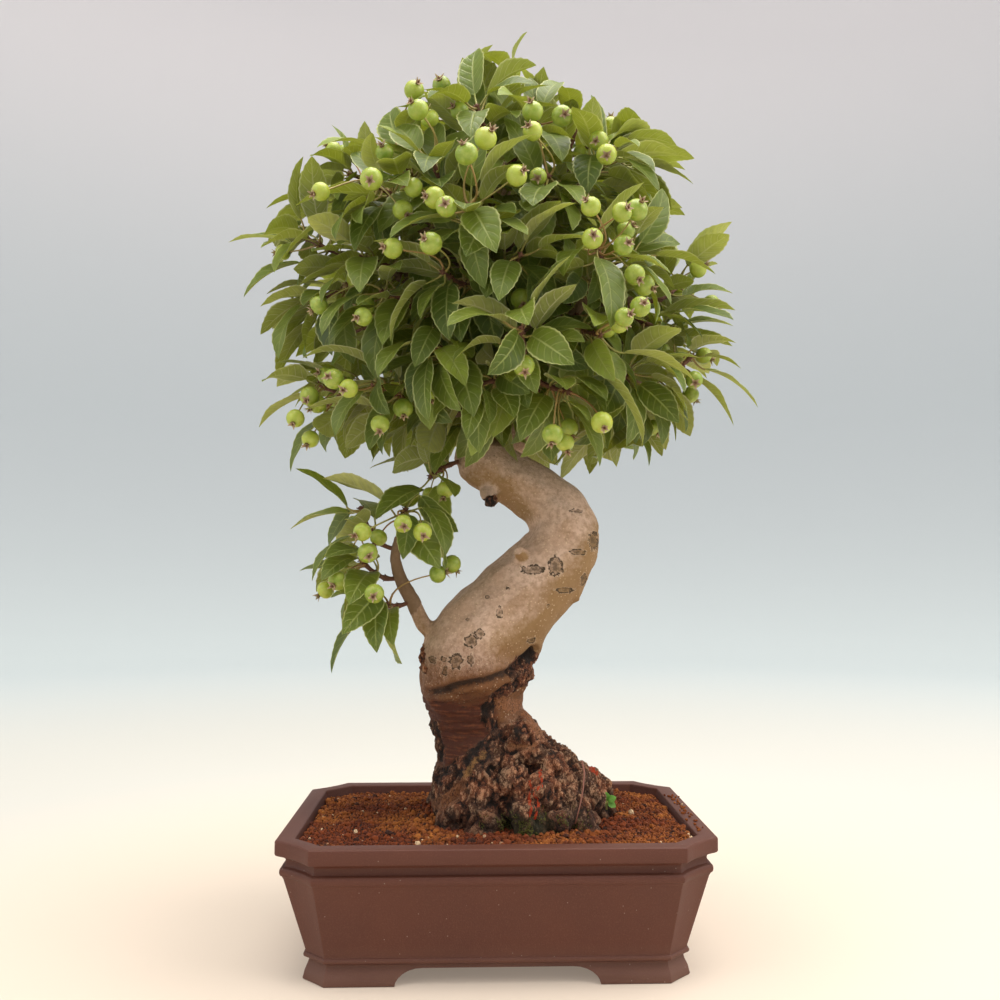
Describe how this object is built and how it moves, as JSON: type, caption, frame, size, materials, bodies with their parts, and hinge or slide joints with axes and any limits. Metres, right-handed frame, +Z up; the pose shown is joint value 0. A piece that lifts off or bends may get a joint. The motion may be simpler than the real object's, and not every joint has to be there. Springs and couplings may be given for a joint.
{
  "type": "hall crabapple bonsai in a pot",
  "caption": "Bonsai tree with an S-shaped trunk, leafy sprays and small green crab apples, standing in a low octagonal clay pot that rests on four feet.",
  "frame": {"origin": "under the pot at the middle of the object's box, on the plane of the feet", "axes": "+Z up along the tree, +X along the pot's long side, +Y away from the viewer across the pot"},
  "size_m": [0.381, 0.302, 0.656],
  "materials": {
    "clay": "unglazed brown clay, matt",
    "soil": "granular fired clay soil",
    "plastic": "moulded mesh",
    "bark": "living bark",
    "foliage": "green leaves, twigs and fruit"
  },
  "bodies": {
    "root": {"pot": "clay", "soil": "soil", "drain_screen_left": "plastic", "drain_screen_right": "plastic", "trunk": "bark", "spray_01": "foliage", "spray_02": "foliage", "spray_03": "foliage", "spray_04": "foliage", "spray_05": "foliage", "spray_06": "foliage", "spray_07": "foliage", "spray_08": "foliage", "spray_09": "foliage", "spray_10": "foliage", "spray_11": "foliage", "spray_12": "foliage", "spray_13": "foliage", "spray_14": "foliage", "spray_15": "foliage", "spray_16": "foliage", "spray_17": "foliage", "spray_18": "foliage", "spray_19": "foliage", "spray_20": "foliage", "spray_21": "foliage", "spray_22": "foliage", "spray_23": "foliage", "spray_24": "foliage", "spray_25": "foliage", "spray_26": "foliage", "spray_27": "foliage", "spray_28": "foliage", "spray_29": "foliage", "spray_30": "foliage", "spray_31": "foliage", "spray_32": "foliage", "spray_33": "foliage", "spray_34": "foliage", "spray_35": "foliage", "spray_36": "foliage", "spray_37": "foliage", "spray_38": "foliage", "spray_39": "foliage", "spray_40": "foliage", "spray_41": "foliage", "spray_42": "foliage", "spray_43": "foliage", "spray_44": "foliage", "spray_45": "foliage", "spray_46": "foliage", "spray_47": "foliage", "spray_48": "foliage", "spray_49": "foliage", "spray_50": "foliage", "spray_51": "foliage", "spray_52": "foliage", "spray_53": "foliage", "spray_54": "foliage", "spray_55": "foliage"}
  },
  "joints": []
}
